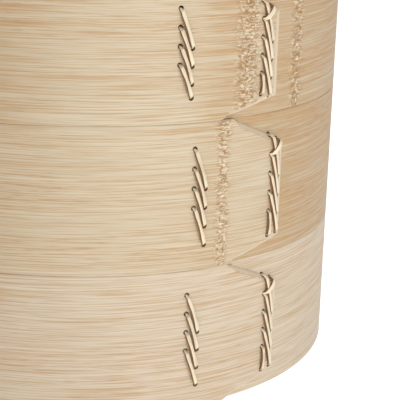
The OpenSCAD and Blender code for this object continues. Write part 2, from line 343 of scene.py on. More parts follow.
def carry_attributes(old, new):
    """Reads each new vertex's attributes from the nearest place on the old surface."""
    old.calc_loop_triangles()
    corners = [tuple(t.vertices) for t in old.loop_triangles]
    points = [v.co.copy() for v in old.vertices]
    tree = BVHTree.FromPolygons(points, corners)
    picks, shares = [], []
    for v in new.vertices:
        place, _, index, _ = tree.find_nearest(v.co)
        picks.append(corners[index])
        shares.append(poly_3d_calc([points[i] for i in corners[index]], place))
    picks, shares = np.array(picks), np.array(shares)
    for layer in old.attributes:
        field = {"FLOAT": "value", "FLOAT_VECTOR": "vector"}.get(layer.data_type)
        if layer.domain != "POINT" or layer.name == "position" or field is None:
            continue
        size = 3 if field == "vector" else 1
        values = np.zeros(len(old.vertices) * size, np.float32)
        layer.data.foreach_get(field, values)
        values = values.reshape(-1, size)
        mixed = (values[picks] * shares[:, :, None]).sum(axis=1)
        target = new.attributes.get(layer.name)
        if target is None:
            target = new.attributes.new(layer.name, layer.data_type, "POINT")
        target.data.foreach_set(field, mixed.astype(np.float32).ravel())


def drill(obj, cutters):
    """Cuts closed cutter shapes out of a piece, and keeps its vertex attributes."""
    mesh = bpy.data.meshes.new("cutters")
    mesh.from_pydata([tuple(v) for v in cutters.verts], [], cutters.faces)
    face_outward(mesh)
    tool = link_object("cutters", mesh)
    cut = obj.modifiers.new("holes", "BOOLEAN")
    cut.operation = "DIFFERENCE"
    cut.solver = "MANIFOLD"
    cut.object = tool
    graph = bpy.context.evaluated_depsgraph_get()
    result = bpy.data.meshes.new_from_object(
        obj.evaluated_get(graph), preserve_all_data_layers=True, depsgraph=graph
    )
    old = obj.data
    carry_attributes(old, result)
    obj.modifiers.remove(cut)
    obj.data = result
    result.name = old.name
    bpy.data.meshes.remove(old)
    bpy.data.objects.remove(tool)
    bpy.data.meshes.remove(mesh)


def add_rod(builder, start, end, radius, sides=16):
    start, end = np.asarray(start, float), np.asarray(end, float)
    axis = end - start
    axis /= np.linalg.norm(axis)
    u = np.cross(axis, [0, 0, 1.0])
    u /= np.linalg.norm(u)
    v = np.cross(axis, u)
    verts = []
    for p in (start, end):
        for i in range(sides):
            a = 2 * math.pi * i / sides
            verts.append(p + radius * (math.cos(a) * u + math.sin(a) * v))
    faces = loop_faces(2, sides)
    faces += [tuple(range(sides)), tuple(range(sides, 2 * sides))]
    builder.add(verts, faces, [(0, 0, 0)] * len(verts), [0] * len(verts))


# ---- Bent strips ----


def graded(first, last, coarse, zones):
    """Azimuths from first down to last, closer together inside each (middle, half, step) zone."""
    columns = [first]
    while columns[-1] > last + 1e-6:
        az = columns[-1]
        step = coarse
        for middle, half, fine in zones:
            if abs(az - middle) < half + coarse:
                step = min(step, fine)
        columns.append(max(az - step, last))
    return columns


def scar_lift(tier, az, z, scars):
    """Height and strength of the rough ridges where the bamboo's nodes were planed down."""
    lift, strength = 0.0, 0.0
    s = math.radians(az) * tier.r
    for middle, half, low, high in scars:
        edge = half + 0.9 * noise.noise(Vector((0, z * 260, middle)))
        off = abs(az - middle - 0.5 * noise.noise(Vector((middle, z * 90, 3.0))))
        inside = float(smooth(1.25 - off / edge)) * float(smooth((z - low) / 0.002 + 0.5))
        inside *= float(smooth((high - z) / 0.002 + 0.5))
        if inside > 0:
            rough = noise.noise(Vector((s * 900, z * 800, middle)))
            rough += 0.6 * noise.noise(Vector((s * 1700, z * 1500, middle)))
            lift += inside * (0.10 + 0.20 * rough) * MM
            strength = max(strength, inside)
    return lift, strength


def wrapped_strip(name, tier, az_outer, az_inner, inset, z_low, z_high, material, scars, zones,
                  tongue, row_step, tone_and_shade):
    """One bent strip as a spiral, with rounded edges, a bevelled outer end and node scars."""
    rows = max(6, round((z_high - z_low) / row_step))
    columns = graded(az_outer, az_inner, COLUMN_STEP, zones)
    bevel = TONGUE_END_BEVEL if tongue else END_BEVEL
    inner_face = range(rows + 5, 2 * rows + 6)  # places in the ring
    columns = [az_outer] + [c for c in columns[1:] if c < az_outer - bevel - 0.1]
    columns.insert(1, az_outer - bevel - 0.05)
    verts, grain, shade, scar, tones, depth = [], [], [], [], [], []
    for i, az in enumerate(columns):
        taper = 0.0
        if tongue:
            taper = min(max((az - (az_outer - TONGUE_CUT)) / TONGUE_CUT, 0), 1)
        s = math.radians(az) * tier.r
        low = z_low + TONGUE_BOTTOM * taper + wave(tier.seed + 1, s, 0.05, 0.08 * MM)
        high = z_high - TONGUE_TOP * taper + wave(tier.seed + 2, s, 0.05, 0.08 * MM)
        scraped = float(smooth(taper * 8))
        under = STRIP_T + 0.9 * LAYER_GAP * scraped
        inner_r = EDGE_R * (1 - 0.8 * scraped)
        drop = EDGE_R + (TONGUE_BEVEL - EDGE_R) * scraped
        back = EDGE_R + (under - 2 * inner_r - EDGE_R) * scraped
        ring = []
        for j in range(rows + 1):
            z = low + drop + (high - low - 2 * drop) * j / rows
            lift, strength = scar_lift(tier, az, z, scars)
            lift += wave(tier.seed + 3, s + 0.4 * z, 0.03, 0.03 * MM)
            ring.append((-lift, z, strength, 0.0))
        turn = ARC_MIDDLE + (0.5 - ARC_MIDDLE) * scraped
        ease = ARC_MIDDLE * inner_r
        corner = [(turn * back, turn * drop), (back, 0), (under - inner_r, 0), (under - ease, ease)]
        for inward, down in corner:
            ring.append((inward, high - down, 0.0, scraped))
        for j in range(rows, -1, -1):
            z = low + EDGE_R + (high - low - 2 * EDGE_R) * j / rows
            ring.append((under, z, 0.0, 0.0))
        for inward, down in reversed(corner):
            ring.append((inward, low + down, 0.0, scraped))
        for j, (inward, z, strength, pale) in enumerate(ring):
            at = az
            if i == 0:
                at = az - bevel * (1 - max(inward, 0) / STRIP_T)
            verts.append(tier.at(at, inset + inward, z))
            along = math.radians(at) * tier.r + tier.seed * 0.31
            grain.append((along, z + tier.seed, inward + inset))
            # The tongue's end and its scraped edges get the pale cut colour, partly painted light.
            shade.append(1.0 if i == 0 and tongue else pale)
            scar.append(strength)
            tones.append(tone_and_shade(at))
            # depth marks the inner face; on the hole walls between, the material paints shade.
            depth.append(1.0 if i > 0 and j in inner_face else 0.0)
    count = len(ring)
    faces = loop_faces(len(columns), count)
    top, inner = rows, rows + 5
    for base in (0, (len(columns) - 1) * count):
        for j in range(rows):
            k = inner + rows - j
            faces.append((base + j, base + j + 1, base + k - 1, base + k))
        faces.append(tuple(base + j for j in range(top, inner + 1)))
        faces.append(tuple(base + j % count for j in range(inner + rows, count + 1)))
    attributes = {"grain": grain, "shade": shade, "scar": scar, "tone_and_shade": tones, "depth": depth}
    obj = make_object(name, verts, faces, attributes, material, sharp=50)
    cutters = Builder()
    add_lace_cutters(cutters, tier)
    for az in PEG_AZIMUTHS:
        for z in peg_heights(tier):
            r = tier.inner_r
            add_rod(cutters, tier.point(az, r - 3 * MM, 0, z), tier.point(az, r + 9 * MM, 0, z),
                    PEG_R + 0.05 * MM)
    drill(obj, cutters)
    return obj


def peg_heights(tier):
    return (12 * MM, 40 * MM) if tier.prefix == "lid" else (11.5 * MM, 36 * MM)


def add_lace_cutters(cutters, tier):
    first = (tier.start_column, tier.start_holes())
    last = (tier.end_column, tier.end_holes())
    for az, (left, right) in (first, last):
        spots = [(-LACE_COLUMN_W / 2, z) for z in left] + [(LACE_COLUMN_W / 2, z) for z in right]
        for side, z in spots:
            start = tier.point(az, tier.inner_r - 2 * MM, side, z)
            end = tier.point(az, tier.r + 2 * MM, side, z)
            add_rod(cutters, start, end, LACE_HOLE_R)


def finish_piece(obj, tier, slot, *nodes):
    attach(obj, tier.body)
    if nodes:
        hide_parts(*nodes)


def outer_band(tier, material, scars, tone_and_shade):
    zones = [(tier.start_column, 3, 0.6), (tier.end_column, 4, 0.6)]
    zones += [(middle, half * 2, 0.3) for middle, half, _, _ in scars]
    first, last = tier.tongue + TONGUE_END, tier.tongue - 360 - BAND_OVERLAP
    band = wrapped_strip(
        tier.band + "_strip", tier, first, last, 0, 0, tier.h, material, scars, zones, True,
        0.8 * MM, tone_and_shade,
    )
    finish_piece(band, tier, "band_bamboo", tier.band)


def inner_hoop(tier, node, z_low, z_high, material):
    start = tier.tongue - HOOP_START_BACK
    hoop = wrapped_strip(
        node + "_strip", tier, start, start - 360 - HOOP_OVERLAP, STRIP_T + HOOP_GAP, z_low,
        z_high, material, [], [], False, 1.5 * MM, lambda az: HOOP_TONE,
    )
    if node.endswith("base_hoop"):
        notch = Builder()
        for x in (-BATTEN_X, BATTEN_X):
            add_box(
                notch,
                (x + tier.shift[0], tier.shift[1], tier.z + FLOOR_Z - BATTEN_H / 2 + 0.4 * MM),
                (BATTEN_W + 0.4 * MM, 2 * tier.r + 10 * MM, BATTEN_H + 1 * MM),
            )
        drill(hoop, notch)
    finish_piece(hoop, tier, "hoop_bamboo", node)


def add_box(builder, centre, size):
    cx, cy, cz = centre
    sx, sy, sz = (s / 2 for s in size)
    signs = [(x, y, z) for z in (-1, 1) for y in (-1, 1) for x in (-1, 1)]
    verts = [(cx + x * sx, cy + y * sy, cz + z * sz) for x, y, z in signs]
    faces = [(0, 1, 3, 2), (4, 6, 7, 5), (0, 4, 5, 1), (2, 3, 7, 6), (0, 2, 6, 4), (1, 5, 7, 3)]
    builder.add(verts, faces, [(0, 0, 0)] * 8, [0] * 8)


# ---- Lacing ----


def cut_side_and_shade(x, y):
    """How brown a lacing strip is at a point of its section: only its cut sides are, their brown
    partly real and partly painted shade beside the strip.
    """
    if y >= 0.3 * MM:
        return 0.0
    return float(smooth((abs(x) / MM - 0.76) / 0.12))


def stitch(builder, tier, az, start, end, lift, seed, tilt=0.42):
    """A rattan strip that comes out of one hole, lies over the wall and goes in at another."""
    (y0, z0), (y1, z1) = start, end
    across = np.array([y1 - y0, z1 - z0])
    length = float(np.linalg.norm(across))
    heading = across / length
    out, right, up = toward(az), rightward(az), np.array([0.0, 0.0, 1.0])
    path, sides, ups, widths = [], [], [], []
    for i in range(STITCH_STEPS + 1):
        t = i / STITCH_STEPS
        edge = min(t, 1 - t)
        in_hole = edge < HOLE_PART
        if in_hole:
            u = HOLE_EDGE if t < 0.5 else 1 - HOLE_EDGE
            height = 0.1 * MM - 2.4 * MM * (HOLE_PART - edge) / HOLE_PART
        else:
            body = (t - HOLE_PART) / (1 - 2 * HOLE_PART)
            u = HOLE_EDGE + (1 - 2 * HOLE_EDGE) * body
            height = 0.1 * MM + (lift + 0.25 * MM) * math.sin(math.pi * body) ** 0.55
        sway = 0.12 * MM * math.sin(math.pi * u + seed)
        y = y0 + across[0] * u - heading[1] * sway
        z = z0 + across[1] * u + heading[0] * sway
        path.append(tier.point(az, tier.r + height + LACE_T / 2, y, z))
        side = -heading[1] * right + heading[0] * up
        lean = tilt * math.sin(math.pi * t)
        normal = math.cos(lean) * out + math.sin(lean) * side
        side = math.cos(lean) * side - math.sin(lean) * out
        if in_hole:
            way = 1 if t < 0.5 else -1
            normal = -way * (heading[0] * right + heading[1] * up)
        sides.append(side)
        ups.append(normal)
        widths.append(0.55 + 0.48 * float(smooth(math.sin(math.pi * t) * 1.3)))
    profile = section(LACE_W, LACE_T, 0.2 * MM, bow=0.18 * MM, across=6)
    sweep(builder, path, sides, ups, profile, seed, widths, shade=cut_side_and_shade)


def inner_run(builder, tier, az, start, end, seed):
    """The flat run of a lacing strip on the inside of the wall, from hole to hole."""
    (y0, z0), (y1, z1) = start, end
    out, right, up = toward(az), rightward(az), np.array([0.0, 0.0, 1.0])
    across = np.array([y1 - y0, z1 - z0])
    heading = across / np.linalg.norm(across)
    side = -heading[1] * right + heading[0] * up
    path = []
    for i in range(9):
        t = i / 8
        r = tier.inner_r - 0.4 * MM - 0.15 * MM * math.sin(math.pi * t)
        if i in (0, 8):
            r = tier.inner_r + 1.2 * MM
        y, z = y0 + across[0] * t, z0 + across[1] * t
        path.append(tier.point(az, r, y, z))
    sweep(builder, path, [side] * 9, [-out] * 9, section(LACE_W, 0.5 * MM, 0.15 * MM), seed)


def start_lacing(tier, material):
    left, right = tier.start_holes()
    half = LACE_COLUMN_W / 2
    builder = Builder()
    for i in range(4):
        stitch(builder, tier, tier.start_column, (-half, left[i]), (half, right[i]), 0.4 * MM,
               tier.seed + i, 0.7)
    for i in range(3):
        inner_run(builder, tier, tier.start_column, (half, right[i]), (-half, left[i + 1]),
                  tier.seed + 9 + i)
    lacing = builder.build(tier.prefix + "_start_lacing_strips", material)
    finish_piece(lacing, tier, "rattan_lacing", tier.prefix + "_start_lacing")


def end_lacing(tier, material):
    left, right = tier.end_holes()
    half = LACE_COLUMN_W / 2
    builder = Builder()
    az = tier.end_column
    stitch(builder, tier, az, (half, right[0]), (-half, left[1]), 0.75 * MM, tier.seed + 20, 0.1)
    for i in range(4):
        stitch(builder, tier, az, (-half, left[i]), (half, right[i + 1]), 0.2 * MM,
               tier.seed + 21 + i)
    stitch(builder, tier, az, (-half, left[4]), (-half, left[5]), 0.2 * MM, tier.seed + 26)
    for i in range(5):
        start = (-half, left[1]) if i == 0 else (half, right[i])
        inner_run(builder, tier, az, start, (-half, left[i]), tier.seed + 30 + i)
    lacing = builder.build(tier.prefix + "_end_lacing_strips", material)
    finish_piece(lacing, tier, "rattan_lacing", tier.prefix + "_end_lacing")


# ---- Basket floor ----


def slat_end(tier, y, sign):
    """How far a slat reaches at this distance from the middle."""
    r = tier.r - 2 * WRAP_STEP - STRIP_T - 0.45 * MM
    x = math.sqrt(max(r * r - y * y, 0))
    near_lacing = sign > 0 and y < 0
    if near_lacing:
        az = math.degrees(math.atan2(x, -y))
        for column in (tier.start_column, tier.end_column):
            if abs(az - column) < 4.5:
                r = tier.inner_r - 1.5 * MM
                x = math.sqrt(max(r * r - y * y, 0))
    return x * sign


def floor_slats(tier, material):
    builder = Builder()
    profile = section(SLAT_W, SLAT_T, 0.45 * MM, bow=0.12 * MM, across=5)
    for i in range(-SLAT_COUNT, SLAT_COUNT + 1):
        seed = tier.seed + 40 + i
        verts, grain, shade = [], [], []
        for k in range(SLAT_STEPS + 1):
            t = 2 * k / SLAT_STEPS - 1
            for x, y in profile:
                across = i * SLAT_PITCH + x
                reach = slat_end(tier, across, 1 if t > 0 else -1) * abs(t)
                drift = wave(seed, reach, 0.06, 0.25 * MM)
                z = FLOOR_Z + SLAT_T / 2 + y * 0.97
                verts.append(tier.shift + np.array([reach, across + drift, tier.z + z]))
                grain.append((reach + seed * 0.37, across + seed * 0.011, y + seed * 0.05))
                shade.append(0.0)
        n = len(profile)
        faces = loop_faces(SLAT_STEPS + 1, n)
        faces += [tuple(range(n)), tuple(range(SLAT_STEPS * n, (SLAT_STEPS + 1) * n))]
        builder.add(verts, faces, grain, shade)
    slats = builder.build(tier.prefix + "_floor_slats_split", material)
    finish_piece(slats, tier, "slat_bamboo", tier.prefix + "_floor_slats")


def cross_slats(tier, material):
    """Two thin strips woven over and under the floor slats."""
    builder = Builder()
    profile = section(CROSS_W, CROSS_T, 0.3 * MM, bow=0.08 * MM, across=5)
    over = FLOOR_Z + SLAT_T + 0.15 * MM + CROSS_T / 2
    under = FLOOR_Z - 0.15 * MM - CROSS_T / 2
    reach = tier.inner_r - 2 * MM
    for phase, x in enumerate((-CROSS_X, CROSS_X)):
        end = math.sqrt(reach * reach - (abs(x) + CROSS_W / 2) ** 2)
        path = []
        for k in range(CROSS_STEPS + 1):
            y = -end + 2 * end * k / CROSS_STEPS
            place = y / SLAT_PITCH
            nearest = round(place)
            sign = 1 if (nearest + SLAT_COUNT + phase) % 2 == 0 else -1
            off = abs(place - nearest) * SLAT_PITCH - SLAT_W / 2 - 0.3 * MM
            gap = SLAT_PITCH / 2 - SLAT_W / 2 - 0.3 * MM
            level = sign * (1 - float(smooth(off / gap)))
            z = (over + under) / 2 + (over - under) / 2 * level
            path.append(tier.shift + np.array([x, y, tier.z + z]))
        path = np.array(path)
        ways = np.gradient(path, axis=0)
        ups = [np.cross([1.0, 0, 0], w / np.linalg.norm(w)) for w in ways]
        sweep(builder, path, [(1.0, 0, 0)] * len(path), ups, profile, tier.seed + 60 + phase)
    strips = builder.build(tier.prefix + "_cross_slats_woven", material)
    finish_piece(strips, tier, "slat_bamboo", tier.prefix + "_cross_slats")


def support_battens(tier, material):
    builder = Builder()
    profile = section(BATTEN_W, BATTEN_H - 0.1 * MM, 0.9 * MM, bow=0.05 * MM, across=4)
    r = tier.r - 2 * WRAP_STEP - STRIP_T - 0.5 * MM
    end = math.sqrt(r * r - (BATTEN_X + BATTEN_W / 2) ** 2)
    z = FLOOR_Z - BATTEN_H / 2 - 0.05 * MM
    for i, x in enumerate((-BATTEN_X, BATTEN_X)):
        seed = tier.seed + 70 + i
        path = [
            tier.shift + np.array([x + wave(seed, y, 0.05, 0.1 * MM), y, tier.z + z])
            for y in np.linspace(-end, end, BATTEN_STEPS)
        ]
        sides, ups = [(1.0, 0, 0)] * BATTEN_STEPS, [(0, 0, 1.0)] * BATTEN_STEPS
        sweep(builder, path, sides, ups, profile, seed)
    battens = builder.build(tier.prefix + "_support_battens_split", material)
    finish_piece(battens, tier, "batten_bamboo", tier.prefix + "_support_battens")


def closed_loop(builder, centre, along, up, half_l, half_h, width, thick, seed):
    """A flat strip tied round in a rounded rectangle, standing in the plane of along and up."""
    centre, along, up = (np.asarray(v, float) for v in (centre, along, up))
    side = np.cross(along, up)
    r = 0.55 * MM
    path, normals = [], []
    for cx, cy, start in ((1, -1, -90), (1, 1, 0), (-1, 1, 90), (-1, -1, 180)):
        for j in range(5):
            a = math.radians(start + 22.5 * j)
            normal = math.cos(a) * along + math.sin(a) * up
            corner = cx * (half_l - r) * along + cy * (half_h - r) * up
            path.append(centre + corner + r * normal)
            normals.append(normal)
    sweep(builder, path, [side] * len(path), normals, section(width, thick, 0.14 * MM, across=3),
          seed, closed=True)


def slat_lashings(tier, material):
    builder = Builder()
    out = np.array([BATTEN_W / 2 + 0.9 * MM, SLAT_W / 2 + 1.1 * MM, 0])
    half_l = float(np.linalg.norm(out)) + 0.25 * MM
    low = FLOOR_Z - BATTEN_H - 0.35 * MM
    high = FLOOR_Z + SLAT_T + 0.35 * MM
    for x in (-BATTEN_X, BATTEN_X):
        for i in (-4, -2, 0, 2, 4):
            centre = tier.shift + np.array([x, i * SLAT_PITCH, tier.z + (low + high) / 2])
            closed_loop(builder, centre, out / np.linalg.norm(out), (0, 0, 1.0), half_l,
                        (high - low) / 2, 1.2 * MM, 0.5 * MM, tier.seed + 80 + i)
    ties = builder.build(tier.prefix + "_slat_lashings_tied", material)
    finish_piece(ties, tier, "rattan_lacing", tier.prefix + "_slat_lashings")


def hoop_pegs(tier, material):
    """Whittled pins with slightly domed, off-round heads."""
    builder = Builder()
    sides = 14
    for i, az in enumerate(PEG_AZIMUTHS):
        for z in peg_heights(tier):
            seed = tier.seed + i + z * 100
            stations = [
                (tier.inner_r - 0.4 * MM, 0.75), (tier.inner_r - 0.1 * MM, 0.97),
                (tier.wall(az), 0.97), (tier.wall(az) + 0.18 * MM, 0.9),
                (tier.wall(az) + 0.28 * MM, 0.6), (tier.wall(az) + 0.31 * MM, 0.2),
            ]
            verts, grain = [], []
            for r, scale in stations:
                for k in range(sides):
                    a = 2 * math.pi * k / sides
                    w = PEG_R * scale * (1 + 0.02 * math.sin(3 * a + seed))
                    y, h = w * math.cos(a), w * math.sin(a)
                    verts.append(tier.point(az, r, y, h + z))
                    grain.append((r + seed, y, h))
            faces = loop_faces(len(stations), sides)
            faces += [tuple(range(sides)), tuple(range(len(verts) - sides, len(verts)))]
            builder.add(verts, faces, grain, [0] * len(verts))
    pegs = builder.build(tier.prefix + "_hoop_pegs_whittled", material)
    finish_piece(pegs, tier, "peg_bamboo", tier.prefix + "_hoop_pegs")


# ---- Lid ----


DOME_R = (WEAVE_R * WEAVE_R + DOME_RISE * DOME_RISE) / (2 * DOME_RISE)
DOME_CENTRE_Z = WEAVE_EDGE_Z + DOME_RISE - DOME_R


def dome_z(r):
    return DOME_CENTRE_Z + math.sqrt(DOME_R * DOME_R - r * r)


def weave_over(a, b):
    return (a + b) % 4 < 2


def weave_strips(tier, node, side, material):
    """Strips along great circles of the dome, over two crossing strips and under two."""
    builder = Builder()
    profile = section(WEAVE_W, WEAVE_T, 0.22 * MM, bow=0.05 * MM, across=6)
    step = WEAVE_PITCH / DOME_R
    lift = WEAVE_T / 2 + 0.07 * MM
    half = (WEAVE_W / 2 + 0.25 * MM) / DOME_R
    centre = tier.shift + np.array([0, 0, tier.z + DOME_CENTRE_Z])
    for index in range(-WEAVE_LAST, WEAVE_LAST + 1):
        tilt = index * step
        crossings = [math.atan(math.tan(i * step) * math.cos(tilt)) for i in CROSSINGS]
        signs = [side if weave_over(index, side * i) else -side for i in CROSSINGS]
        knots, levels = [], []
        for a, s in zip(crossings, signs):
            knots += [a - half, a + half]
            levels += [s * lift, s * lift]
        widest = math.sin(tilt) * DOME_R
        reach = math.sqrt(max(WEAVE_R**2 - (abs(widest) + WEAVE_W / 2) ** 2, (12 * MM) ** 2))
        limit = math.asin(min(reach / DOME_R, 1))
        count = max(12, int(2 * limit * DOME_R / (1.1 * MM)))
        angles = np.linspace(-limit, limit, count)
        heights = np.interp(angles, knots, levels)
        kernel = np.array([1, 2, 3, 2, 1]) / 9
        padded = np.pad(heights, 2, mode="edge")
        heights = np.convolve(padded, kernel, mode="valid")
        path, ups = [], []
        lean_side = np.array([0, math.cos(tilt), -math.sin(tilt)])
        for a, h in zip(angles, heights):
            flat = math.cos(a)
            up = np.array([math.sin(a), flat * math.sin(tilt), flat * math.cos(tilt)])
            path.append((DOME_R + h) * up)
            ups.append(up)
        if side < 0:
            turn = np.array([[0, 1, 0], [-1, 0, 0], [0, 0, 1.0]])
            path = [turn @ p for p in path]
            ups = [turn @ u for u in ups]
            lean_side = turn @ lean_side
        path = [centre + p for p in path]
        sweep(builder, path, [lean_side] * count, ups, profile, tier.seed + side * 40 + index * 1.7)
    strips = builder.build(node + "_split", material)
    finish_piece(strips, tier, "weave_bamboo", node)


def lid_ring(tier, node, corners, material):
    """A ring of solid bamboo from a few section corners, with eased edges."""
    builder = Builder()
    outline = []
    count = len(corners)
    for i, (r, z) in enumerate(corners):
        here = np.array([r, z])
        before = np.array(corners[i - 1]) - here
        after = np.array(corners[(i + 1) % count]) - here
        back = before / np.linalg.norm(before) * 0.5 * MM
        on = after / np.linalg.norm(after) * 0.5 * MM
        outline += [here + back, here + (back + on) * 0.3, here + on, here + after / 2]
    verts, grain = [], []
    for k in range(RING_STEPS):
        az = 360 * k / RING_STEPS
        wobble = wave(tier.seed + 90, 0.05 * math.cos(math.radians(az)), 0.02, 0.1 * MM)
        for r, z in outline:
            verts.append(tier.point(az, r + wobble, 0, z))
            grain.append((math.radians(az) * r, z, r))
    faces = loop_faces(RING_STEPS, len(outline), closed=True)
    builder.add(verts, faces, grain, [0] * len(verts))
    ring = builder.build(node + "_bent", material, sharp=50)
    finish_piece(ring, tier, "hoop_bamboo", node)


def edge_lashings(tier, material):
    builder = Builder()
    low, high = RING_BOTTOM_Z - 0.15 * MM, RING_TOP_Z + 0.25 * MM
    inner, outer = RING_INNER_R - 0.15 * MM, RING_OUTER_R + 0.15 * MM
    for i in range(LASHING_COUNT):
        az = 90 + 360 / LASHING_COUNT * (i + 0.25)
        middle = tier.point(az, (inner + outer) / 2, 0, (low + high) / 2)
        closed_loop(builder, middle, toward(az), (0, 0, 1.0), (outer - inner) / 2 + 0.25 * MM,
                    (high - low) / 2 + 0.25 * MM, 2 * MM, 0.5 * MM, tier.seed + 100 + i)
    ties = builder.build("lid_edge_lashings_tied", material)
    finish_piece(ties, tier, "rattan_lacing", "lid_edge_lashings")


# ---- Materials ----


class Nodes:
    """Short names for building one material's node tree."""

    def __init__(self, name):
        self.material = bpy.data.materials.new(name)
        self.material.use_nodes = True
        self.tree = self.material.node_tree
        self.shader = self.tree.nodes["Principled BSDF"]

    def add(self, kind, **settings):
        node = self.tree.nodes.new(kind)
        for key, value in settings.items():
            setattr(node, key, value)
        return node

    def link(self, source, target):
        self.tree.links.new(source, target)
        return source

    def attribute(self, name, output="Vector"):
        return self.add("ShaderNodeAttribute", attribute_name=name).outputs[output]

    def math(self, operation, a, b=None, clamp=False):
        node = self.add("ShaderNodeMath", operation=operation, use_clamp=clamp)
        for i, value in enumerate((a, b)):
            if value is None:
                continue
            if isinstance(value, (int, float)):
                node.inputs[i].default_value = value
            else:
                self.link(value, node.inputs[i])
        return node.outputs[0]

    def stretched(self, vector, along, across, offset=0.0):
        node = self.add("ShaderNodeMapping")
        node.inputs["Scale"].default_value = (along, across, across)
        node.inputs["Location"].default_value = (offset, offset * 0.7, offset * 1.3)
        self.link(vector, node.inputs["Vector"])
        return node.outputs[0]

    def noise(self, vector, scale=1.0, detail=2.0, rough=0.5, distortion=0.0):
        node = self.add("ShaderNodeTexNoise")
        node.inputs["Scale"].default_value = scale
        node.inputs["Detail"].default_value = detail
        node.inputs["Roughness"].default_value = rough
        node.inputs["Distortion"].default_value = distortion
        self.link(vector, node.inputs["Vector"])
        return node.outputs["Fac"]

    def ramp(self, value, low, high):
        node = self.add("ShaderNodeMapRange", interpolation_type="SMOOTHSTEP")
        node.inputs["From Min"].default_value = low
        node.inputs["From Max"].default_value = high
        self.link(value, node.inputs["Value"])
        return node.outputs["Result"]

    def bump(self, height, distance, strength, normal=None):
        node = self.add("ShaderNodeBump")
        node.inputs["Strength"].default_value = strength
        node.inputs["Distance"].default_value = distance
        self.link(height, node.inputs["Height"])
        if normal:
            self.link(normal, node.inputs["Normal"])
        return node.outputs[0]

    def mix(self, factor, a, b):
        node = self.add("ShaderNodeMix", data_type="RGBA")
        for socket, value in (("Factor", factor), ("A", a), ("B", b)):
            target = [s for s in node.inputs if s.name == socket and s.enabled][0]
            if isinstance(value, (int, float)):
                target.default_value = value
            elif isinstance(value, tuple):
                target.default_value = (*value, 1.0)
            else:
                self.link(value, target)
        return [s for s in node.outputs if s.enabled][0]


def lit(colour, factor):
    return tuple(min(1.0, c * factor) for c in colour)


def blend(a, b, part):
    return tuple(x + (y - x) * part for x, y in zip(a, b))


def node_scars(m, grain, colour, pale):
    """Cracks of the planed nodes with painted highlights for glints and painted shade in pits, and
    painted shade on the walls in the holes.
    """
    scar = m.attribute("scar", "Fac")
    swirl = m.noise(m.stretched(grain, 330, 720, 2.2), detail=0.5, distortion=0.9)
    glints = m.noise(m.stretched(grain, 560, 1300, 11.3), detail=1.0)
    specks = m.noise(m.stretched(grain, 700, 900, 7.7), detail=1.0, distortion=0.6)
    crease = m.math("ABSOLUTE", m.math("SUBTRACT", swirl, 0.5))
    edge = m.math("MULTIPLY", m.ramp(crease, 0.070, 0.035), scar)
    colour = m.mix(m.math("MULTIPLY", edge, 0.9), colour, lit(AMBER, 0.85))
    # Glints: painted highlights.
    shine = m.math("MULTIPLY", m.ramp(glints, 0.58, 0.66), scar)
    colour = m.mix(m.math("MULTIPLY", shine, 0.75), colour, lit(pale, 1.35))
    # Pits: painted shade.
    pit = m.math("MULTIPLY", m.ramp(specks, 0.64, 0.71), scar)
    colour = m.mix(m.math("MULTIPLY", pit, 0.7), colour, lit(AMBER, 0.8))
    rise = m.math("MULTIPLY", m.math("SUBTRACT", shine, edge), 0.5)
    # Painted shade on the walls in the holes.
    depth = m.attribute("depth", "Fac")
    inside = m.math("MULTIPLY", m.ramp(depth, 0.02, 0.2), m.ramp(depth, 0.98, 0.8))
    colour = m.mix(m.math("MULTIPLY", inside, 0.8), colour, AMBER)
    return colour, rise


